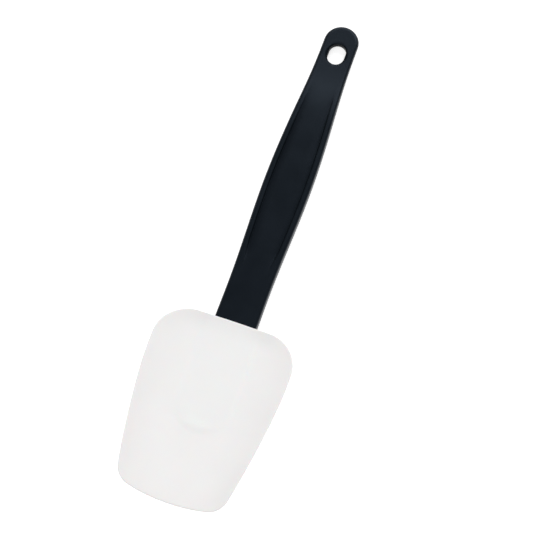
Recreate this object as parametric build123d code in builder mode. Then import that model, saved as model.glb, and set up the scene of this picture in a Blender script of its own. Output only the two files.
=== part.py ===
"""Spoon-shaped pastry scraper: a soft silicone head pushed onto the tang of a moulded nylon handle.

Millimetres. +Y runs from the scraping tip to the hanging end, +X is to the right and +Z is up,
out of the bowl. The origin is the middle of the footprint, on the surface that the scraper lies on.
"""

from build123d import *
import os

# Overall
OVERALL_LENGTH = 256.8
HEAD_LENGTH = 92.5
HEAD_WIDTH = 69.6
TIP_Y = -OVERALL_LENGTH / 2
END_Y = OVERALL_LENGTH / 2
SHOULDER_Y = TIP_Y + HEAD_LENGTH

# Handle: half width against the distance from the shoulder, up to the round hanging end
HANDLE_SIDE = ((10.5, 0.0), (10.4, 20.5), (11.77, 74.2), (10.66, 107.4), (9.15, 133.2))
PLATE_HALF_WIDTH = 8.73
GRIP_THICKNESS = 7.2
GRIP_MIDDLE_Z = 3.7
PLATE_THICKNESS = 3.7
PLATE_MIDDLE_Z = 3.0
PLATE_START_Y = 114.0
TAPER_START_Y = 64.0
EDGE_RADIUS = 1.7
SHOULDER_GAP = 0.05

# Shallow finger channel on both faces of the grip
RAIL_WIDTH = 2.9
CHANNEL_DEPTH = 0.6
CHANNEL_LOW_Y = -9.0
CHANNEL_FULL_Y = 8.0
CHANNEL_HIGH_Y = 96.0
CHANNEL_END_SHARE = 0.37

# Hanging slot
SLOT_WIDTH = 8.6
SLOT_LENGTH = 11.3
SLOT_Y = 112.5
SLOT_RIM = 0.6

# Tang and its retaining ribs, and the pocket that they push into
TANG_LENGTH = 49.0
TANG_ROOT = (17.0, 3.8)
TANG_TIP = (13.0, 2.4)
TANG_CORNER = 1.0
RIB_COUNT = 5
RIB_PITCH = 8.0
RIB_FIRST = 8.0
RIB_HEIGHT = 0.2
RIB_LENGTH = 1.6
FIT_CLEARANCE = 0.3
POCKET_END_GAP = 1.0

# Head plan: right-hand side as (half width, distance from the tip), and its bows and corners
HEAD_SIDE = ((HEAD_WIDTH / 2, 71.0), (33.0, 45.5), (29.6, 21.9), (25.7, 3.1))
SIDE_END_SLOPE = 0.27
SHOULDER_DROP = 1.6
SHOULDER_RADIUS = 17.8
CORNER_RADIUS = 9.0

# Bowl sections: (distance from the tip, half width to the lip, floor height, lip height, thickness)
BOWL_SECTIONS = (
    (-3.0, 25.6, 9.2, 16.4, 1.6),
    (20.5, 28.8, 8.2, 16.1, 2.4),
    (43.0, 32.2, 7.6, 15.5, 3.0),
    (66.0, 33.4, 7.4, 14.7, 3.2),
    (79.5, 32.2, 7.7, 13.9, 3.2),
    (93.0, 26.0, 9.6, 12.9, 4.6),
)
BOWL_REACH = 38.0
FLANK_PLACE = 0.58
FLANK_RISE = 0.22
LIP_THICKNESS = 2.0
LIP_DROP = 0.3
RIM_RADIUS = 0.6

# Boss that wraps the tang on the underside of the bowl and shows faintly inside it
BOSS_WIDTH = 25.0
BOSS_LENGTH = 55.0
BOSS_HEIGHT = 7.3
BOSS_RADIUS = 1.6

GRIP_BACK_Z = GRIP_MIDDLE_Z - GRIP_THICKNESS / 2
GRIP_FRONT_Z = GRIP_MIDDLE_Z + GRIP_THICKNESS / 2
PLATE_BACK_Z = PLATE_MIDDLE_Z - PLATE_THICKNESS / 2
PLATE_FRONT_Z = PLATE_MIDDLE_Z + PLATE_THICKNESS / 2
LEFT_PLANE = Plane.YZ.offset(-HEAD_WIDTH / 2)


def mirrored(points):
    """The same points on the left-hand side, in reverse order."""
    return [(-x, y) for x, y in reversed(points)]


def handle_plan():
    """Handle outline in plan: a waisted neck, a swelling grip and a round hanging end."""
    cap_y = END_Y - PLATE_HALF_WIDTH
    right = [(x, SHOULDER_Y + distance) for x, distance in HANDLE_SIDE]
    right.append((PLATE_HALF_WIDTH, cap_y))
    with BuildSketch() as plan:
        with BuildLine():
            Line(mirrored(right)[-1], right[0])
            Spline(*right, tangents=[(0, 1), (0, 1)])
            ThreePointArc(right[-1], (0, END_Y), (-PLATE_HALF_WIDTH, cap_y))
            Spline(*mirrored(right), tangents=[(0, -1), (0, -1)])
        make_face()
    return plan.sketch


def handle_side():
    """Handle outline from the side: a level grip that thins into the hanging plate."""
    with BuildSketch() as side:
        with BuildLine():
            Line((SHOULDER_Y, GRIP_BACK_Z), (SHOULDER_Y, GRIP_FRONT_Z))
            Line((SHOULDER_Y, GRIP_FRONT_Z), (TAPER_START_Y, GRIP_FRONT_Z))
            Spline((TAPER_START_Y, GRIP_FRONT_Z), (PLATE_START_Y, PLATE_FRONT_Z), tangents=[(1, 0), (1, 0)])
            Line((PLATE_START_Y, PLATE_FRONT_Z), (END_Y, PLATE_FRONT_Z))
            Line((END_Y, PLATE_FRONT_Z), (END_Y, PLATE_BACK_Z))
            Line((END_Y, PLATE_BACK_Z), (PLATE_START_Y, PLATE_BACK_Z))
            Spline((PLATE_START_Y, PLATE_BACK_Z), (TAPER_START_Y, GRIP_BACK_Z), tangents=[(-1, 0), (-1, 0)])
            Line((TAPER_START_Y, GRIP_BACK_Z), (SHOULDER_Y, GRIP_BACK_Z))
        make_face()
    return side.sketch


def channel_cutter(face_z, plate_z, inward):
    """Solid that cuts a finger channel: inward is the direction into the grip, +1 or -1 along Z."""
    floor_z = face_z + inward * CHANNEL_DEPTH
    end_z = plate_z + CHANNEL_END_SHARE * (face_z - plate_z)
    outside_z = face_z - inward * GRIP_THICKNESS
    right = [(x - RAIL_WIDTH, SHOULDER_Y + distance) for x, distance in HANDLE_SIDE]
    left = mirrored(right)
    with BuildPart() as cutter:
        with BuildSketch(Plane.XY.offset(-GRIP_THICKNESS)):
            with BuildLine():
                Spline(*right)
                Line(right[-1], left[0])
                Spline(*left)
                Line(left[-1], right[0])
            make_face()
        extrude(amount=3 * GRIP_THICKNESS)
        with BuildSketch(LEFT_PLANE):
            with BuildLine():
                Line((CHANNEL_LOW_Y, face_z), (CHANNEL_FULL_Y, floor_z))
                Line((CHANNEL_FULL_Y, floor_z), (TAPER_START_Y, floor_z))
                Line((TAPER_START_Y, floor_z), (CHANNEL_HIGH_Y, end_z))
                Line((CHANNEL_HIGH_Y, end_z), (CHANNEL_HIGH_Y, outside_z))
                Line((CHANNEL_HIGH_Y, outside_z), (CHANNEL_LOW_Y, outside_z))
                Line((CHANNEL_LOW_Y, outside_z), (CHANNEL_LOW_Y, face_z))
            make_face()
        extrude(amount=HEAD_WIDTH, mode=Mode.INTERSECT)
    return cutter.part


def tang_size(distance):
    """Width and thickness of the tapered tang at a distance from the shoulder."""
    share = distance / TANG_LENGTH
    return [root + share * (tip - root) for root, tip in zip(TANG_ROOT, TANG_TIP)]


def tang_section(distance, growth=0.0):
    """Rounded section across the tang, grown all round by growth for the pocket."""
    width, thickness = tang_size(distance)
    with BuildSketch(Plane.XZ.offset(distance - SHOULDER_Y)) as section:
        with Locations((0, GRIP_MIDDLE_Z)):
            RectangleRounded(width + 2 * growth, thickness + 2 * growth, TANG_CORNER + growth)
    return section.sketch


def head_plan():
    """Head outline in plan: four bowed sides, broad round shoulders and small tip corners."""
    top_y = SHOULDER_Y - SHOULDER_GAP
    corner_y = top_y - SHOULDER_DROP
    right = [(x, TIP_Y + distance) for x, distance in HEAD_SIDE]
    left = mirrored(right)
    slope = (SIDE_END_SLOPE, 1)
    with BuildSketch() as plan:
        with BuildLine():
            ThreePointArc((-HEAD_WIDTH / 2, corner_y), (0, top_y), (HEAD_WIDTH / 2, corner_y))
            Line((HEAD_WIDTH / 2, corner_y), right[0])
            Spline(*right, tangents=[(0, -1), (-slope[0], -slope[1])])
            ThreePointArc(right[-1], (0, TIP_Y), left[0])
            Spline(*left, tangents=[(-slope[0], slope[1]), (0, 1)])
            Line(left[-1], (-HEAD_WIDTH / 2, corner_y))
        make_face()
        corners = plan.vertices().group_by(Axis.Y)
        fillet(corners[-1], SHOULDER_RADIUS)
        fillet(plan.vertices().group_by(Axis.Y)[0], CORNER_RADIUS)
    return plan.sketch


def bowl_section(distance, lip_x, floor_z, lip_z, thickness):
    """Shallow trough section across the head: a flat floor, rising flanks and a level lip."""
    flank_x = FLANK_PLACE * lip_x
    flank_z = floor_z + FLANK_RISE * (lip_z - floor_z)
    edge_z = lip_z - LIP_DROP
    right_inside = [(0, floor_z), (flank_x, flank_z), (lip_x, edge_z), (BOWL_REACH, lip_z)]
    drops = [thickness, thickness, LIP_THICKNESS, LIP_THICKNESS]
    right_outside = [(x, z - drop) for (x, z), drop in zip(right_inside, drops)]
    inside = mirrored(right_inside)[:-1] + right_inside
    outside = mirrored(right_outside)[:-1] + right_outside
    with BuildSketch(Plane.XZ.offset(-(TIP_Y + distance))) as section:
        with BuildLine():
            Spline(*inside, tangents=[(1, 0), (1, 0)])
            Line(inside[-1], outside[-1])
            Spline(*reversed(outside), tangents=[(-1, 0), (-1, 0)])
            Line(outside[0], inside[0])
        make_face()
    return section.sketch


def boss():
    """Round-ended boss that holds the tang pocket, with its long edges rounded at the back."""
    top_y = SHOULDER_Y - SHOULDER_GAP
    radius = BOSS_WIDTH / 2
    straight = BOSS_LENGTH - radius
    with BuildPart() as body:
        with BuildSketch():
            with Locations((0, top_y - straight / 2)):
                Rectangle(BOSS_WIDTH, straight)
            with Locations((0, top_y - straight)):
                Circle(radius)
        extrude(amount=BOSS_HEIGHT)
        with BuildSketch():
            add(head_plan())
        extrude(amount=BOSS_HEIGHT, mode=Mode.INTERSECT)
        back_face = body.faces().sort_by(Axis.Z)[0]
        back_edges = back_face.edges().sort_by(Axis.Y)[:-1]
        fillet(back_edges, BOSS_RADIUS)
    return body.part


def tang_rib(distance):
    """Low ridge across both faces of the tang that keeps the head from working loose."""
    width, thickness = tang_size(distance)
    with BuildPart() as rib:
        with BuildSketch(Plane.XZ.offset(distance - SHOULDER_Y)):
            with Locations((0, GRIP_MIDDLE_Z)):
                Rectangle(width - 4 * TANG_CORNER, thickness + 2 * RIB_HEIGHT)
        extrude(amount=RIB_LENGTH)
    return rib.part


# Handle: grip, shank, hanging plate and tang in one moulding
with BuildPart() as handle:
    with BuildSketch():
        add(handle_plan())
    extrude(amount=GRIP_THICKNESS + GRIP_MIDDLE_Z)
    with BuildSketch(LEFT_PLANE):
        add(handle_side())
    extrude(amount=HEAD_WIDTH, mode=Mode.INTERSECT)
    outline_edges = handle.edges().filter_by(Axis.X, reverse=True).filter_by(Axis.Z, reverse=True)
    fillet(outline_edges, EDGE_RADIUS)
    add(channel_cutter(GRIP_FRONT_Z, PLATE_FRONT_Z, -1), mode=Mode.SUBTRACT)
    add(channel_cutter(GRIP_BACK_Z, PLATE_BACK_Z, 1), mode=Mode.SUBTRACT)
    with BuildSketch():
        with Locations((0, SLOT_Y)):
            SlotOverall(SLOT_LENGTH, SLOT_WIDTH, rotation=90)
    extrude(amount=GRIP_FRONT_Z, mode=Mode.SUBTRACT)
    slot_edges = handle.edges().filter_by_position(Axis.X, -SLOT_WIDTH / 2, SLOT_WIDTH / 2)
    slot_edges = slot_edges.filter_by_position(Axis.Y, SLOT_Y - SLOT_LENGTH / 2, SLOT_Y + SLOT_LENGTH / 2)
    fillet(slot_edges.filter_by(Axis.Z, reverse=True), SLOT_RIM)
    loft([tang_section(0), tang_section(TANG_LENGTH)])
    for index in range(RIB_COUNT):
        add(tang_rib(RIB_FIRST + index * RIB_PITCH))
handle.part.label = "handle"

# Head: a shallow bowl with a thin scraping edge and a boss round the tang pocket
with BuildPart() as head:
    loft([bowl_section(*row) for row in BOWL_SECTIONS])
    with BuildSketch():
        add(head_plan())
    extrude(amount=BOWL_REACH, mode=Mode.INTERSECT)
    skins = head.faces().sort_by(SortBy.AREA)[-2:]
    fillet(skins.edges(), RIM_RADIUS)
    add(boss())
    pocket_mouth = tang_section(0, FIT_CLEARANCE)
    pocket_end = tang_section(TANG_LENGTH + POCKET_END_GAP, FIT_CLEARANCE)
    loft([pocket_mouth, pocket_end], mode=Mode.SUBTRACT)
head.part.label = "head"

os.makedirs("parts", exist_ok=True)
export_step(handle.part, "parts/handle.step")
export_step(head.part, "parts/head.step")
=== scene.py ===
"""Looks of the pastry scraper: a soft white head on a dark moulded nylon handle.

The shapes are worked out in millimetres in the row frame and turned into metres when a mesh is made.
Both pieces are built as right-hand halves, then mirrored and welded along the middle plane.
"""

import math

import bmesh
import bpy
import numpy as np
from mathutils import Matrix, Vector


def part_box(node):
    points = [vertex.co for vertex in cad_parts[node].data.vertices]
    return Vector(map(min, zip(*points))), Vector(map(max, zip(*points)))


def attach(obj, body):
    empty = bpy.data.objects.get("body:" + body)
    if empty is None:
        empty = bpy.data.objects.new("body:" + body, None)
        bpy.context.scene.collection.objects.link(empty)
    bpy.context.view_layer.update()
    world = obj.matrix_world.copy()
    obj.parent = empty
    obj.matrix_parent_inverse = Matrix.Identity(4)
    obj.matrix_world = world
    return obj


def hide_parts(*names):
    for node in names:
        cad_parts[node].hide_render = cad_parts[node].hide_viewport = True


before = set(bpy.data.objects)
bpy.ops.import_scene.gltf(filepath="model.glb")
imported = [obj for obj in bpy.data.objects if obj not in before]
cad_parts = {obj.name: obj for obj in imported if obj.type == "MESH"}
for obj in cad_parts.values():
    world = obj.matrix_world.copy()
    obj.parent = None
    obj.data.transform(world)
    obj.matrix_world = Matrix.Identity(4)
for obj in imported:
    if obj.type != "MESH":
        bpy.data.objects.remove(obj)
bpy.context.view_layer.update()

MM = 1000.0
handle_low, handle_high = (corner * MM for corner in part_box("handle"))
head_low, head_high = (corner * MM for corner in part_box("head"))

# Places along the tool, from the frame
SHOULDER_GAP = 0.05
TIP_Y = head_low.y
TOP_Y = head_high.y
END_Y = handle_high.y
TANG_END_Y = handle_low.y
SHOULDER_Y = TOP_Y + SHOULDER_GAP
HEAD_HALF_WIDTH = head_high.x

# Handle: half width against the distance from the shoulder, and the round hanging end
HANDLE_SIDE = ((0.0, 10.5), (20.5, 10.4), (74.2, 11.77), (107.4, 10.66), (133.2, 9.15))
CAP_RADIUS = 8.73
CAP_Y = END_Y - CAP_RADIUS
GRIP_FRONT_Z = handle_high.z
GRIP_BACK_Z = handle_low.z
GRIP_MIDDLE_Z = (GRIP_FRONT_Z + GRIP_BACK_Z) / 2
PLATE_MIDDLE_Z = 3.0
EDGE_RADIUS = 1.7
END_RADIUS = 0.3

# Side wall of the handle: mesh rows as shares of its height, with the parting line on the middle one
SIDE_SHARES = (0, 0.3, 0.45, 0.5, 0.55, 0.7, 1)
PARTING_SHARE = 0.5
PARTING_HEIGHT = 0.07

# How far the faces sink towards the hanging plate, against the distance from the hanging end
FRONT_SINK = ((0.0, 2.55), (24.0, 1.95), (32.0, 1.45), (40.0, 0.8), (48.0, 0.3), (58.0, 0.06), (68.0, 0.0))
FRONT_SINK_SLOPES = (-0.02, 0.0)
BACK_SINK = ((0.0, 1.05), (24.0, 0.9), (35.0, 0.5), (46.0, 0.12), (66.0, 0.0))

# Finger channel: insets are measured from the outline
CHANNEL_DEPTH = 1.0
WALL_INSET = 2.6
WALL_WIDTH = 0.85
DISH_WIDTH = 4.6
DISH_POWER = 2.2
CHANNEL_INSETS = (2.2, 2.6, 2.72, 2.84, 2.94, 3.02, 3.1, 3.2, 3.32, 3.45, 3.6, 3.9, 4.4, 5.1, 6.0, 7.0, 8.05)

# Ends of the channel: where it fades, and how its walls veer and crowd towards the neck
CHANNEL_LOW_Y = -9.0
CHANNEL_FULL_Y = 8.0
CHANNEL_FADE_Y = 66.0
CHANNEL_HIGH_Y = 95.0
CHANNEL_END_VEER = 1.2
CHANNEL_END_LEAD = 2.0
CHANNEL_END_CROWD = 0.35

# Mesh columns draw together beside the slot, and mesh rows fan out to meet its rim
SQUEEZE = 0.3
SQUEEZE_LOW_Y = 95.0
SQUEEZE_HIGH_Y = 104.0
FAN_LOW_Y = 96.0
FAN_HIGH_Y = 103.5

# Hanging slot
SLOT_WIDTH = 8.6
SLOT_LENGTH = 11.3
SLOT_Y = 112.5
SLOT_RIM = 0.6
# Reach from the slot's middle of the painted shade: specular turned down on the slot's inner wall
SLOT_SHADE_REACH = 5.8

# Tang: half width and half thickness at its two ends
TANG_ROOT = (8.5, 1.9)
TANG_TIP = (6.5, 1.2)
TANG_CORNER = 1.0
TANG_LENGTH = SHOULDER_Y - TANG_END_Y
TANG_END_BEVEL = 0.5
TANG_END_INSET = 0.4

# Ribs on the tang, and the pocket that they push into
RIB_FIRST = 8.8
RIB_PITCH = 8.0
RIB_COUNT = 5
RIB_HEIGHT = 0.2
RIB_LENGTH = 1.6
RIB_FLANK = 0.25
FIT_CLEARANCE = 0.3
POCKET_END_GAP = 1.0
POCKET_OVERRUN = 4.0
SHARP_ANGLE = math.radians(40)

# Head outline: half width against the distance from the tip, then its bows and corners
HEAD_SIDE = ((71.0, HEAD_HALF_WIDTH), (45.5, 33.0), (21.9, 29.6), (3.1, 25.7))
HEAD_SIDE_SLOPES = (0.27, 0.0)
TIP_BOW = 3.1
SHOULDER_DROP = 1.6
SHOULDER_RADIUS = 17.8
CORNER_RADIUS = 9.0

# Bowl heights, widths and skin against the distance from the tip, each with its slopes at the two ends
FLOOR = ((0.0, 9.1), (20.5, 8.2), (43.0, 7.6), (66.0, 7.4), (80.0, 7.45), (92.4, 7.6))
FLOOR_SLOPES = (-0.05, 0.0)
LIP = ((0.0, 16.3), (20.5, 16.1), (43.0, 15.5), (66.0, 14.7), (80.0, 13.9), (92.4, 12.9))
LIP_SLOPES = (0.0, -0.09)
LIP_HALF_WIDTH = ((0.0, 26.1), (20.5, 29.0), (43.0, 32.5), (66.0, 34.2), (80.0, 33.6), (92.4, 29.5))
LIP_HALF_WIDTH_SLOPES = (0.13, -0.4)
THICKNESS = ((0.0, 1.5), (20.5, 2.2), (43.0, 2.8), (66.0, 3.0), (92.4, 3.2))
THICKNESS_SLOPES = (0.03, 0.0)
TROUGH_POWER = 2.8
LIP_THICKNESS = 1.9
RIM_RADIUS = 0.7

# Low wall at the shoulders, with a dip in front of the handle
END_WALL_LENGTH = 10.0
END_WALL_RISE = 2.3
END_WALL_DIP = 0.38
END_WALL_POWER = 2.2
DIP_EDGE = (8.0, 15.0)

# Boss round the tang on the underside
BOSS_HALF_WIDTH = 12.5
BOSS_LENGTH = 55.0
BOSS_EDGE_RADIUS = 1.6
BOSS_WALL_SLOPE = 3.0
BOSS_FILLET = 1.6
BOSS_WALL_REACH = 2.5

# Faint raised tongue that the boss leaves inside the bowl, and the ridge across its end
TONGUE_GROWTH = 1.0
TONGUE_HEIGHT = 0.25
TONGUE_EDGE = 1.6
RIDGE_Y = -89.0
RIDGE_REACH = 3.0
RIDGE_HEIGHT = 0.14
RIDGE_EDGE = (4.0, 8.0)

# Mesh spacing
FINE_STEP = 0.1
HEAD_FINE_STEP = 0.15
CAP_TURN_STEP = 0.5
SLOT_TURN_STEP = 1.0
TANG_TURN_STEP = 6.0
OUTLINE_STEP = 1.1
CAP_STEP = 0.55
HEAD_STEP = 0.9
SHOULDER_SHARES = (0.0, 0.1, 0.4, 1.0)
FAN_ROWS = 9
EDGE_STEPS = 7
RIM_STEPS = 5
MIDDLE_COLUMNS = 6
MIDDLE_REACH = 4.0
SKIN_COLUMNS = 26
WALL_COLUMNS = 14
BOSS_COLUMNS = 11
BAND_ROWS = 5
POCKET_LOOP_POINTS = 41
ARC_POINTS = 80
CROSSING_SAMPLES = 401
FIRST_COLUMN = 1.6
SPINE_LEAD = 22.0
SPINE_TAIL = 9.0
SPINE_EVENNESS = 0.15
MIDDLE_PLANE_WIDTH = 1e-6
WELD_DISTANCE = 2e-6
SHORTEST_EDGE = 5e-7

# Camera: the photograph's viewing angle
VIEW_PITCH = math.radians(16.0)
VIEW_YAW = math.radians(7.58)
VIEW_ROLL = math.radians(-20.447)
VIEW_DISTANCE = 917.6
VIEW_CENTRE = Vector((6.43, -4.65, GRIP_MIDDLE_Z))
LENS = 126.71
SENSOR = 36.0
CLIP_START = 0.05
CLIP_END = 20.0

# Finishes and stage
NYLON_SPECULAR = 0.2
# Specular level on the slot's inner wall, turned down as painted shade so the wall reads dark
SLOT_SHADE_SPECULAR = 0.03
NOISE_SPREAD = (0.3, 0.7)
RAMP_SPREAD = (0.35, 0.65)
FLOOR_HALF_SIZE = 12.0
FLOOR_ALBEDO = 0.8
FLOOR_ROUGHNESS = 0.9
FLOOR_GLOW = 0.6
WORLD_STRENGTH = 0.4


def smooth_curve(knots, places, start_slope=0.0, end_slope=0.0):
    """Clamped cubic spline through (place, value) knots, evaluated at places."""
    knots = sorted(knots)
    x = np.array([knot[0] for knot in knots])
    v = np.array([knot[1] for knot in knots])
    gap = np.diff(x)
    count = len(x)
    system = np.eye(count)
    right = np.zeros(count)
    right[0], right[-1] = start_slope, end_slope
    for i in range(1, count - 1):
        before, after = gap[i - 1], gap[i]
        system[i, i - 1 : i + 2] = (after, 2 * (before + after), before)
        right[i] = 3 * (after * (v[i] - v[i - 1]) / before + before * (v[i + 1] - v[i]) / after)
    slope = np.linalg.solve(system, right)
    places = np.asarray(places, float)
    i = np.clip(np.searchsorted(x, places) - 1, 0, count - 2)
    t = np.clip((places - x[i]) / gap[i], 0, 1)
    return (
        v[i] * (1 + 2 * t) * (1 - t) ** 2
        + slope[i] * gap[i] * t * (1 - t) ** 2
        + v[i + 1] * t**2 * (3 - 2 * t)
        - slope[i + 1] * gap[i] * t**2 * (1 - t)
    )


def ease(value, low, high):
    """Smooth step from 0 at low to 1 at high."""
    t = np.clip((np.asarray(value, float) - low) / (high - low), 0, 1)
    return t * t * (3 - 2 * t)


def steps(count):
    """Even shares of the way from 0, which is left out, to 1."""
    return np.linspace(0, 1, count + 1)[1:]


def rounding(distance, radius):
    """Drop of a rounded edge at a distance in from it."""
    reach = radius - np.clip(distance, 0, radius)
    return radius - np.sqrt(np.maximum(radius**2 - reach**2, 0))


def round_insets(radius, count):
    """Insets that space a rounded edge evenly by angle, from the edge inwards."""
    return [radius * (1 - math.cos(math.pi / 2 * k / count)) for k in range(count + 1)]


def path_lengths(path):
    """Distance along a path at each of its points."""
    return np.r_[0, np.cumsum(np.linalg.norm(np.diff(path, axis=0), axis=1))]


def along(values, lengths, places):
    """Values given at distances along a path, read at other places along it."""
    return np.column_stack([np.interp(places, lengths, column) for column in values.T])


def resample(path, step):
    """The same path with evenly spaced points."""
    lengths = path_lengths(path)
    count = round(lengths[-1] / step) + 1
    return along(path, lengths, np.linspace(0, lengths[-1], count))


def unit(vectors):
    """The same vectors with a length of 1."""
    return vectors / np.linalg.norm(vectors, axis=1)[:, None]


def left_normals(path):
    """Unit normals on the left of a path, which is inwards for a path that runs anticlockwise."""
    run = unit(np.gradient(path, axis=0))
    return np.column_stack([-run[:, 1], run[:, 0]])


def grid_faces(index, flip):
    """Quads between the rows and columns of an array of vertex numbers."""
    faces = []
    for row in range(index.shape[0] - 1):
        for column in range(index.shape[1] - 1):
            a, b = index[row, column], index[row + 1, column]
            c, d = index[row + 1, column + 1], index[row, column + 1]
            faces.append((a, d, c, b) if flip else (a, b, c, d))
    return faces


class HalfMesh:
    """Points and faces of a right-hand half, in millimetres."""

    def __init__(self):
        self.points = []
        self.faces = []

    def grid(self, rows, flip=False):
        """Adds a sheet of quads through rows of 3-D points."""
        rows = np.asarray(rows, float)
        start = sum(len(block) for block in self.points)
        index = start + np.arange(rows.shape[0] * rows.shape[1]).reshape(rows.shape[:2])
        self.points.append(rows.reshape(-1, 3))
        self.faces += grid_faces(index, flip)

    def make(self, name):
        """One closed, smooth-shaded object: this half, its mirror image and the weld between them."""
        points = np.vstack(self.points)
        points[np.abs(points[:, 0]) < MIDDLE_PLANE_WIDTH, 0] = 0
        count = len(points)
        both = np.vstack([points, points * (-1, 1, 1)]) / MM
        mirrored = [tuple(count + i for i in reversed(face)) for face in self.faces]
        mesh = bpy.data.meshes.new(name)
        mesh.from_pydata(both.tolist(), [], self.faces + mirrored)
        work = bmesh.new()
        work.from_mesh(mesh)
        bmesh.ops.remove_doubles(work, verts=work.verts, dist=WELD_DISTANCE)
        bmesh.ops.dissolve_degenerate(work, edges=work.edges, dist=SHORTEST_EDGE)
        bmesh.ops.recalc_face_normals(work, faces=work.faces)
        work.to_mesh(mesh)
        work.free()
        mesh.shade_smooth()
        thing = bpy.data.objects.new(name, mesh)
        bpy.context.scene.collection.objects.link(thing)
        return thing


def handle_outline():
    """Right-hand outline from the shoulder to the hanging end: places, and normals into the handle."""
    side_y = np.arange(SHOULDER_Y, CAP_Y, FINE_STEP)
    knots = HANDLE_SIDE + ((CAP_Y - SHOULDER_Y, CAP_RADIUS),)
    side_x = smooth_curve(knots, side_y - SHOULDER_Y)
    turn = np.radians(np.arange(0, 90 + CAP_TURN_STEP / 2, CAP_TURN_STEP))
    cap = np.column_stack([CAP_RADIUS * np.cos(turn), CAP_Y + CAP_RADIUS * np.sin(turn)])
    path = np.vstack([np.column_stack([side_x, side_y]), cap])
    normals = left_normals(path)
    normals[0] = (-1, 0)
    normals[-1] = (0, -1)
    return path, normals


def handle_rows():
    """Outline point and inward normal for each mesh row, and how many rows end on the slot's rim."""
    path, normals = handle_outline()
    lengths = path_lengths(path)
    fan_low, fan_high = np.interp((FAN_LOW_Y, FAN_HIGH_Y), path[:, 1], lengths)
    grip_count = round(fan_low / OUTLINE_STEP)
    slot_count = round((lengths[-1] - fan_high) / CAP_STEP)
    places = np.r_[
        np.array(SHOULDER_SHARES) * END_RADIUS,
        np.linspace(OUTLINE_STEP, fan_low, grip_count, endpoint=False),
        np.linspace(fan_low, fan_high, FAN_ROWS, endpoint=False),
        np.linspace(fan_high, lengths[-1], slot_count),
    ]
    edge = along(path, lengths, places)
    inward = unit(along(normals, lengths, places))
    inward[0], inward[-1] = (-1, 0), (0, -1)
    return edge, inward, slot_count


def slot_edge(count):
    """Right-hand edge of the hanging slot from bottom to top, with its normals into the plate."""
    radius = SLOT_WIDTH / 2
    straight = (SLOT_LENGTH - SLOT_WIDTH) / 2
    turn = np.radians(np.arange(-90, 90 + SLOT_TURN_STEP / 2, SLOT_TURN_STEP))
    lift = np.where(turn < 0, -straight, straight)
    path = np.column_stack([radius * np.cos(turn), SLOT_Y + lift + radius * np.sin(turn)])
    outward = np.column_stack([np.cos(turn), np.sin(turn)])
    lengths = path_lengths(path)
    places = np.linspace(0, 1, count) * lengths[-1]
    return along(path, lengths, places), unit(along(outward, lengths, places))


def channel_share(inset):
    """Depth of the channel as a share of its full depth: a short wall, then a floor that rises back."""
    wall = ease(inset, WALL_INSET, WALL_INSET + WALL_WIDTH)
    rise = np.clip((inset - WALL_INSET - WALL_WIDTH) / DISH_WIDTH, 0, 1)
    return wall * (1 - rise) ** DISH_POWER


def channel_strength(y):
    """How deep the channel is along the grip: it fades in above the neck and out towards the plate."""
    return ease(y, CHANNEL_LOW_Y, CHANNEL_FULL_Y) * (1 - ease(y, CHANNEL_FADE_Y, CHANNEL_HIGH_Y))


def front_height(y):
    """Height of the handle's front face, before its edges are rounded and its channel is sunk."""
    return GRIP_FRONT_Z - smooth_curve(FRONT_SINK, END_Y - y, *FRONT_SINK_SLOPES)


def back_height(y):
    """Height of the handle's back face, before its edges are rounded and its channel is sunk."""
    return GRIP_BACK_Z + smooth_curve(BACK_SINK, END_Y - y)


def handle_plan(edge, inward, rim):
    """Inset of each mesh column from the outline, and the plan of the mesh points on both faces."""
    y = edge[:, 1]
    fanned = np.interp(y, (FAN_LOW_Y, FAN_HIGH_Y), (FAN_LOW_Y, rim[0, 1]))
    middle = np.column_stack([np.zeros(len(y)), np.where(y < FAN_LOW_Y, y, fanned)])
    middle[-len(rim) :] = rim
    squeeze = 1 - (1 - SQUEEZE) * ease(y, SQUEEZE_LOW_Y, SQUEEZE_HIGH_Y)
    veer = CHANNEL_END_VEER * (1 - ease(y, CHANNEL_LOW_Y - CHANNEL_END_LEAD, CHANNEL_FULL_Y))
    columns = [(inset, edge + inset * inward) for inset in round_insets(EDGE_RADIUS, EDGE_STEPS)]
    for inset in CHANNEL_INSETS:
        crowd = 1 - CHANNEL_END_CROWD * ease(inset, WALL_INSET + WALL_WIDTH, CHANNEL_INSETS[-1])
        shift = veer * ease(inset, EDGE_RADIUS, WALL_INSET) * crowd
        reach = EDGE_RADIUS + (inset - EDGE_RADIUS) * squeeze + shift
        columns.append((inset, edge + reach[:, None] * inward))
    last_inset, last_place = columns[-1]
    for share in steps(MIDDLE_COLUMNS):
        columns.append((last_inset + MIDDLE_REACH * share, last_place + share * (middle - last_place)))
    insets = np.array([inset for inset, place in columns])
    return insets, np.array([place for inset, place in columns]).transpose(1, 0, 2)


def handle_faces(edge, insets, plan):
    """Front and back faces with rounded edges, a rounded shoulder and the finger channels."""
    shoulder = rounding(edge[:, 1] - SHOULDER_Y, END_RADIUS)[:, None]
    plan[:, :, 0] *= 1 - shoulder / plan[:, :1, 0].clip(1)
    y = plan[:, :, 1]
    channel = CHANNEL_DEPTH * channel_strength(y) * channel_share(insets)[None]
    drop = rounding(insets, EDGE_RADIUS)[None] + channel + shoulder
    front = np.dstack([plan, front_height(y) - drop])
    back = np.dstack([plan, back_height(y) + drop])
    return front, back


def handle_side(front, back, inward):
    """Side wall between the two faces, with a fine parting line along its middle."""
    side = []
    for share in SIDE_SHARES:
        row = front[:, 0] + share * (back[:, 0] - front[:, 0])
        if share == PARTING_SHARE:
            row[:, :2] -= PARTING_HEIGHT * inward
        row[[0, -1], 0] = front[[0, -1], 0, 0]
        side.append(row)
    return np.array(side).transpose(1, 0, 2)


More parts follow.
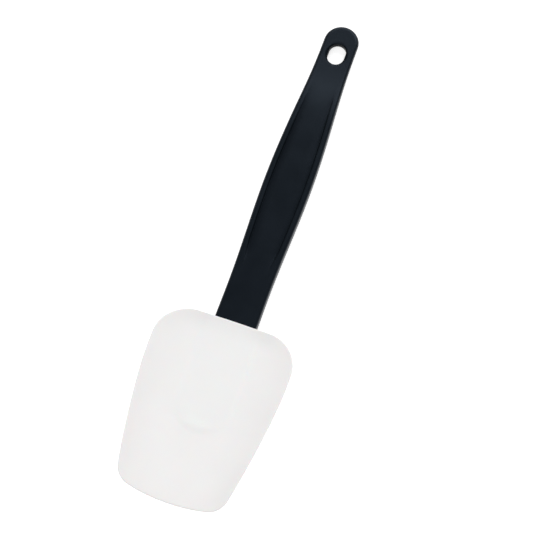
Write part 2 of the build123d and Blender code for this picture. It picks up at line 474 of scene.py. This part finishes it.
def slot_wall(slot_path, slot_out):
    """Wall of the slot and its rounded rims, from the front face through to the back face."""
    front, back = [], []
    for inset in reversed(round_insets(SLOT_RIM, RIM_STEPS)):
        place = slot_path + inset * slot_out
        drop = rounding(inset, SLOT_RIM)
        front.append(np.column_stack([place, front_height(place[:, 1]) - drop]))
        back.append(np.column_stack([place, back_height(place[:, 1]) + drop]))
    return np.array(front + back[::-1]).transpose(1, 0, 2)


def tang_loop(distance, count, growth=0.0):
    """Half section of the tang from the middle of its front round to the middle of its back."""
    share = distance / TANG_LENGTH
    half_width, half_thickness = (a + share * (b - a) + growth for a, b in zip(TANG_ROOT, TANG_TIP))
    corner = TANG_CORNER + growth
    turn = np.radians(np.arange(0, 90 + TANG_TURN_STEP / 2, TANG_TURN_STEP))
    bend = np.column_stack([np.sin(turn), np.cos(turn)]) * corner
    bend += (half_width - corner, half_thickness - corner)
    front = np.vstack([(0, half_thickness), bend])
    path = np.vstack([front, front[::-1] * (1, -1)])
    lengths = path_lengths(path)
    return along(path, lengths, np.linspace(0, lengths[-1], count))


def tang_row(loop, y):
    """A half section of the tang as 3-D points at a place along the tool."""
    return np.column_stack([loop[:, 0], np.full(len(loop), y), GRIP_MIDDLE_Z + loop[:, 1]])


def close_loop(half, row, flip=False):
    """Adds the flat end of a half section, from its front edge to its back edge."""
    count = (len(row) + 1) // 2
    half.grid([row[:count], row[::-1][:count]], flip)


def add_tang(half, root):
    """Joins the shoulder face to the tang, its ribs and its closed end."""
    marks = {0.0: 0.0, TANG_LENGTH - TANG_END_BEVEL: 0.0}
    for index in range(RIB_COUNT):
        start = RIB_FIRST + index * RIB_PITCH
        stop = start + RIB_LENGTH
        marks.update({start - RIB_FLANK: 0.0, start: 1.0, stop: 1.0, stop + RIB_FLANK: 0.0})
    rows = [root]
    for distance, raised in sorted(marks.items()):
        loop = tang_loop(distance, len(root))
        on_face = np.abs(loop[:, 1]) > TANG_CORNER
        loop[:, 1] += raised * RIB_HEIGHT * np.sign(loop[:, 1]) * on_face
        rows.append(tang_row(loop, SHOULDER_Y - distance))
    rows.append(tang_row(tang_loop(TANG_LENGTH, len(root), -TANG_END_INSET), TANG_END_Y))
    half.grid(rows, flip=True)
    close_loop(half, rows[-1])


def build_handle():
    """Grip, hanging plate, slot and tang in one moulding."""
    edge, inward, slot_count = handle_rows()
    slot_path, slot_out = slot_edge(slot_count)
    insets, plan = handle_plan(edge, inward, slot_path + SLOT_RIM * slot_out)
    front, back = handle_faces(edge, insets, plan)
    side = handle_side(front, back, inward)
    half = HalfMesh()
    half.grid(front)
    half.grid(back, flip=True)
    half.grid(side, flip=True)
    half.grid(slot_wall(slot_path, slot_out))
    add_tang(half, np.vstack([front[0, ::-1], side[0, 1:-1], back[0]]))
    return half.make("handle_moulding")


def corner_arc(before, after, radius):
    """Two paths joined by an arc that touches both of them."""
    centres_before = before + radius * left_normals(before)
    centres_after = after + radius * left_normals(after)
    apart = np.linalg.norm(centres_before[:, None] - centres_after[None], axis=2)
    i, j = np.unravel_index(np.argmin(apart), apart.shape)
    centre = (centres_before[i] + centres_after[j]) / 2
    start = math.atan2(*(before[i] - centre)[::-1])
    stop = math.atan2(*(after[j] - centre)[::-1])
    if stop < start:
        stop += 2 * math.pi
    turn = np.linspace(start, stop, ARC_POINTS)[1:-1]
    arc = centre + radius * np.column_stack([np.cos(turn), np.sin(turn)])
    return np.vstack([before[: i + 1], arc, after[j:]])


def head_outline():
    """Right-hand outline from the middle of the tip round to the middle of the shoulder."""
    (widest, _), (corner, corner_x) = HEAD_SIDE[0], HEAD_SIDE[-1]
    tip_x = np.arange(0, corner_x + HEAD_FINE_STEP, HEAD_FINE_STEP)
    tip = np.column_stack([tip_x, TIP_Y + TIP_BOW * (tip_x / corner_x) ** 2])
    distance = np.arange(corner, widest, HEAD_FINE_STEP)
    side = np.column_stack([smooth_curve(HEAD_SIDE, distance, *HEAD_SIDE_SLOPES), TIP_Y + distance])
    rise = np.arange(TIP_Y + widest, TOP_Y - SHOULDER_DROP, HEAD_FINE_STEP)
    side = np.vstack([side, np.column_stack([np.full(len(rise), HEAD_HALF_WIDTH), rise])])
    top_x = np.arange(HEAD_HALF_WIDTH, 0, -HEAD_FINE_STEP)
    top = np.column_stack([top_x, TOP_Y - SHOULDER_DROP * (top_x / HEAD_HALF_WIDTH) ** 2])
    top = np.vstack([top, (0, TOP_Y)])
    path = corner_arc(corner_arc(tip, side, CORNER_RADIUS), top, SHOULDER_RADIUS)
    return resample(path, HEAD_STEP)


def boss_distance(x, y):
    """Distance outside the boss's round-ended plan, negative inside it."""
    end_centre = TOP_Y - BOSS_LENGTH + BOSS_HALF_WIDTH
    return np.hypot(x, np.minimum(y - end_centre, 0)) - BOSS_HALF_WIDTH


def lip_share(x, y):
    """How far a place is from the middle line, as a share of the way to the lip."""
    return np.abs(x) / smooth_curve(LIP_HALF_WIDTH, y - TIP_Y, *LIP_HALF_WIDTH_SLOPES)


def bowl_height(x, y):
    """Height of the inside of the bowl."""
    distance = y - TIP_Y
    floor = smooth_curve(FLOOR, distance, *FLOOR_SLOPES)
    lip = smooth_curve(LIP, distance, *LIP_SLOPES)
    end_wall = np.clip(1 - (TOP_Y - y) / END_WALL_LENGTH, 0, 1) ** END_WALL_POWER
    rise = END_WALL_RISE * (1 - END_WALL_DIP * (1 - ease(np.abs(x), *DIP_EDGE)))
    tongue = TONGUE_HEIGHT * ease(-boss_distance(x, y) + TONGUE_GROWTH, -TONGUE_EDGE, TONGUE_EDGE)
    ridge = RIDGE_HEIGHT * (1 - ease(np.abs(y - RIDGE_Y), 0, RIDGE_REACH))
    ridge = ridge * (1 - ease(np.abs(x), *RIDGE_EDGE))
    inside = floor + rise * end_wall + (tongue + ridge) * (1 - end_wall)
    return inside + (lip - inside) * lip_share(x, y) ** TROUGH_POWER


def underside_height(x, y, inside):
    """Height of the underside: an even skin, with the boss standing down from it to the table."""
    skin = smooth_curve(THICKNESS, y - TIP_Y, *THICKNESS_SLOPES)
    skin = skin + (LIP_THICKNESS - skin) * np.clip(lip_share(x, y), 0, 1) ** 2
    base = inside - skin
    radius = BOSS_EDGE_RADIUS
    across = boss_distance(x, y) + radius
    steep = BOSS_WALL_SLOPE / math.hypot(1, BOSS_WALL_SLOPE) * radius
    bend = radius - np.sqrt(radius**2 - np.clip(across, 0, steep) ** 2)
    boss = bend + BOSS_WALL_SLOPE * np.maximum(across - steep, 0)
    share = np.clip(0.5 + (base - boss) / (2 * BOSS_FILLET), 0, 1)
    return base + (boss - base) * share - BOSS_FILLET * share * (1 - share)


def crossing(start, end, level):
    """Share of the way from start to end at which a line comes within level of the boss."""
    shares = np.linspace(0, 1, CROSSING_SAMPLES)
    points = start[:, None] + shares[None, :, None] * (end - start)[:, None]
    inside = boss_distance(points[..., 0], points[..., 1]) < level
    return shares[np.argmax(inside, axis=1)]


def head_spine(edge):
    """Where each mesh row ends, on a stretch of the middle line inside the boss."""
    low = TOP_Y - BOSS_LENGTH + BOSS_HALF_WIDTH
    high = TOP_Y - BOSS_HALF_WIDTH
    eased = ease(edge[:, 1], low - SPINE_LEAD, high + SPINE_TAIL)
    even = np.linspace(0, 1, len(edge))
    share = even * SPINE_EVENNESS + (1 - SPINE_EVENNESS) * eased
    return np.column_stack([np.zeros(len(edge)), low + share * (high - low)])


def head_plan(edge, inward):
    """Plan of the head's mesh points, dense at the rim and boss wall, and each column's drop at the rim."""
    start = edge + RIM_RADIUS * inward
    spine = head_spine(edge)
    length = np.linalg.norm(spine - start, axis=1)
    wall_start = np.maximum(crossing(start, spine, BOSS_WALL_REACH), FIRST_COLUMN / length)
    wall_end = np.maximum(crossing(start, spine, -BOSS_WALL_REACH), wall_start + BOSS_WALL_REACH / length)
    shares = [wall_start * step for step in steps(SKIN_COLUMNS)]
    shares += [wall_start + (wall_end - wall_start) * step for step in steps(WALL_COLUMNS)]
    shares += [wall_end + (1 - wall_end) * step for step in steps(BOSS_COLUMNS)]
    insets = round_insets(RIM_RADIUS, RIM_STEPS)
    plan = [edge + inset * inward for inset in insets]
    plan += [start + share[:, None] * (spine - start) for share in shares]
    drops = rounding(np.array(insets + [RIM_RADIUS] * len(shares)), RIM_RADIUS)
    return np.array(plan).transpose(1, 0, 2), drops[None]


def build_head():
    """The soft head: a thin-lipped bowl with the boss on its underside."""
    edge = head_outline()
    inward = left_normals(edge)
    inward[0], inward[-1] = (0, 1), (0, -1)
    plan, drops = head_plan(edge, inward)
    x, y = plan[..., 0], plan[..., 1]
    inside = bowl_height(x, y)
    top = np.dstack([plan, inside - drops])
    bottom = np.dstack([plan, underside_height(x, y, inside) + drops])
    band = [top[:, 0] + share * (bottom[:, 0] - top[:, 0]) for share in np.linspace(0, 1, BAND_ROWS)]
    half = HalfMesh()
    half.grid(top)
    half.grid(bottom, flip=True)
    half.grid(np.array(band).transpose(1, 0, 2), flip=True)
    head = half.make("head_moulding")
    cut_pocket(head)
    return head


def cut_pocket(head):
    """Cuts the tang's pocket into the head, so that the tang has room all round."""
    rows = []
    for distance in (-POCKET_OVERRUN, TANG_LENGTH + POCKET_END_GAP):
        loop = tang_loop(distance, POCKET_LOOP_POINTS, FIT_CLEARANCE)
        rows.append(tang_row(loop, TOP_Y - distance))
    half = HalfMesh()
    half.grid(rows)
    close_loop(half, rows[0], flip=True)
    close_loop(half, rows[1])
    cutter = half.make("pocket_cutter")
    cut = head.modifiers.new("pocket", "BOOLEAN")
    cut.operation = "DIFFERENCE"
    cut.solver = "EXACT"
    cut.object = cutter
    graph = bpy.context.evaluated_depsgraph_get()
    result = bpy.data.meshes.new_from_object(head.evaluated_get(graph))
    head.modifiers.clear()
    head.data = result
    bpy.data.objects.remove(cutter)
    result.shade_smooth()
    result.set_sharp_from_angle(angle=SHARP_ANGLE)


def noise(nodes, links, where, scale, detail, name):
    """Noise texture in object coordinates, with its scale in features per metre."""
    node = nodes.new("ShaderNodeTexNoise")
    node.name = name
    node.inputs["Scale"].default_value = scale
    node.inputs["Detail"].default_value = detail
    links.new(where, node.inputs["Vector"])
    return node.outputs["Fac"]


def spread_values(nodes, links, value, source, target):
    """Value spread from the source range to the target range."""
    node = nodes.new("ShaderNodeMapRange")
    node.inputs["From Min"].default_value, node.inputs["From Max"].default_value = source
    node.inputs["To Min"].default_value, node.inputs["To Max"].default_value = target
    links.new(value, node.inputs["Value"])
    return node.outputs["Result"]


def blend_colours(nodes, links, factor, dark, light):
    """Colour between dark and light by a noise factor."""
    node = nodes.new("ShaderNodeValToRGB")
    for element, position, colour in zip(node.color_ramp.elements, RAMP_SPREAD, (dark, light)):
        element.position = position
        element.color = (*colour, 1)
    links.new(factor, node.inputs["Fac"])
    return node.outputs["Color"]


def bump(nodes, links, height, strength, distance, under=None):
    """Bump from a height, laid over another bump if there is one."""
    node = nodes.new("ShaderNodeBump")
    node.inputs["Strength"].default_value = strength
    node.inputs["Distance"].default_value = distance
    links.new(height, node.inputs["Height"])
    if under:
        links.new(under, node.inputs["Normal"])
    return node.outputs["Normal"]


def new_material(name):
    """Empty procedural material: its nodes, links, shader and object coordinates."""
    material = bpy.data.materials.new(name)
    material.use_nodes = True
    nodes, links = material.node_tree.nodes, material.node_tree.links
    shader = nodes["Principled BSDF"]
    where = nodes.new("ShaderNodeTexCoord").outputs["Object"]
    return material, nodes, links, shader, where


def nylon_specular_with_slot_shade(nodes, links, where):
    """Specular level: satin all over, but turned down on the slot's inner wall as painted shade, so that
    wall reads dark.
    """
    distance = nodes.new("ShaderNodeVectorMath")
    distance.operation = "DISTANCE"
    distance.inputs[1].default_value = (0, SLOT_Y / MM, PLATE_MIDDLE_Z / MM)
    links.new(where, distance.inputs[0])
    reach = (SLOT_SHADE_REACH / MM, (SLOT_SHADE_REACH + SLOT_RIM) / MM)
    levels = (SLOT_SHADE_SPECULAR, NYLON_SPECULAR)
    return spread_values(nodes, links, distance.outputs["Value"], reach, levels)


def nylon():
    """Blue-black moulded nylon with a fine spark-eroded grain and slight mottling."""
    material, nodes, links, shader, where = new_material("handle_nylon")
    mottle = noise(nodes, links, where, scale=90, detail=4, name="mottle")
    grain = noise(nodes, links, where, scale=2600, detail=3, name="grain")
    flow = noise(nodes, links, where, scale=35, detail=2, name="flow")
    tint = blend_colours(nodes, links, mottle, (0.0024, 0.0038, 0.0056), (0.0031, 0.0047, 0.0068))
    roughness = spread_values(nodes, links, mottle, NOISE_SPREAD, (0.30, 0.36))
    broad = bump(nodes, links, flow, strength=0.12, distance=0.0006)
    fine = bump(nodes, links, grain, strength=0.10, distance=0.00004, under=broad)
    links.new(tint, shader.inputs["Base Color"])
    links.new(roughness, shader.inputs["Roughness"])
    links.new(fine, shader.inputs["Normal"])
    # Specular level, with painted shade on the slot's inner wall
    links.new(nylon_specular_with_slot_shade(nodes, links, where), shader.inputs["Specular IOR Level"])
    shader.inputs["Specular Tint"].default_value = (0.62, 0.78, 1.0, 1)
    return material


def silicone():
    """Matt white silicone with a soft sheen, a fine skin texture and faint clouding."""
    material, nodes, links, shader, where = new_material("head_silicone")
    cloud = noise(nodes, links, where, scale=60, detail=3, name="cloud")
    skin = noise(nodes, links, where, scale=1800, detail=3, name="skin")
    wave = noise(nodes, links, where, scale=30, detail=1, name="wave")
    tint = blend_colours(nodes, links, cloud, (0.852, 0.852, 0.848), (0.862, 0.862, 0.857))
    roughness = spread_values(nodes, links, cloud, NOISE_SPREAD, (0.56, 0.62))
    broad = bump(nodes, links, wave, strength=0.05, distance=0.0006)
    fine = bump(nodes, links, skin, strength=0.06, distance=0.00003, under=broad)
    links.new(tint, shader.inputs["Base Color"])
    links.new(roughness, shader.inputs["Roughness"])
    links.new(fine, shader.inputs["Normal"])
    shader.inputs["Specular IOR Level"].default_value = 0.35
    shader.inputs["Subsurface Weight"].default_value = 0.12
    shader.inputs["Subsurface Scale"].default_value = 0.002
    return material


def make_floor():
    """Plain white floor under the scraper."""
    size = FLOOR_HALF_SIZE
    corners = [(-size, -size, 0), (size, -size, 0), (size, size, 0), (-size, size, 0)]
    mesh = bpy.data.meshes.new("floor")
    mesh.from_pydata(corners, [], [(0, 1, 2, 3)])
    floor = bpy.data.objects.new("floor", mesh)
    bpy.context.scene.collection.objects.link(floor)
    material = new_material("floor_white")[0]
    shader = material.node_tree.nodes["Principled BSDF"]
    shader.inputs["Base Color"].default_value = (FLOOR_ALBEDO, FLOOR_ALBEDO, FLOOR_ALBEDO, 1)
    shader.inputs["Roughness"].default_value = FLOOR_ROUGHNESS
    shader.inputs["Specular IOR Level"].default_value = 0.0
    shader.inputs["Emission Color"].default_value = (1, 1, 1, 1)
    shader.inputs["Emission Strength"].default_value = FLOOR_GLOW
    mesh.materials.append(material)


def area_light(name, place, size, power):
    """Soft light that faces the scraper."""
    data = bpy.data.lights.new(name, "AREA")
    data.shape = "RECTANGLE"
    data.size, data.size_y = size
    data.energy = power
    light = bpy.data.objects.new(name, data)
    light.location = place
    light.rotation_mode = "QUATERNION"
    light.rotation_quaternion = (-Vector(place)).to_track_quat("-Z", "Y")
    bpy.context.scene.collection.objects.link(light)


def make_camera():
    """Camera at the photograph's viewing angle."""
    away = Vector((math.sin(VIEW_YAW), -math.sin(VIEW_PITCH), 0))
    away.z = math.sqrt(1 - away.length_squared)
    level = Vector((0, 1, 0)).cross(away).normalized()
    upward = away.cross(level)
    right = math.cos(VIEW_ROLL) * level - math.sin(VIEW_ROLL) * upward
    up = math.sin(VIEW_ROLL) * level + math.cos(VIEW_ROLL) * upward
    turn = Matrix((right, up, away)).transposed().to_4x4()
    data = bpy.data.cameras.new("camera")
    data.sensor_width = SENSOR
    data.lens = LENS
    data.clip_start = CLIP_START
    data.clip_end = CLIP_END
    camera = bpy.data.objects.new("camera", data)
    camera.matrix_world = Matrix.Translation((VIEW_CENTRE + VIEW_DISTANCE * away) / MM) @ turn
    bpy.context.scene.collection.objects.link(camera)
    bpy.context.scene.camera = camera


def light_scene():
    """Plain soft studio light, strongest from the hanging end."""
    world = bpy.data.worlds.new("studio")
    world.use_nodes = True
    background = world.node_tree.nodes["Background"]
    background.inputs["Color"].default_value = (1, 1, 1, 1)
    background.inputs["Strength"].default_value = WORLD_STRENGTH
    bpy.context.scene.world = world
    area_light("key", place=(0.04, 1.25, 1.05), size=(1.6, 0.9), power=17.0)
    area_light("fill", place=(0.0, -0.9, 1.6), size=(1.8, 1.4), power=12.9)
    bpy.context.scene.view_settings.view_transform = "Standard"


light_scene()
make_camera()
make_floor()

handle = build_handle()
handle.data.materials.clear()
handle.data.materials.append(nylon())
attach(handle, "handle")
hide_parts("handle")

head = build_head()
head.data.materials.clear()
head.data.materials.append(silicone())
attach(head, "head")
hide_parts("head")
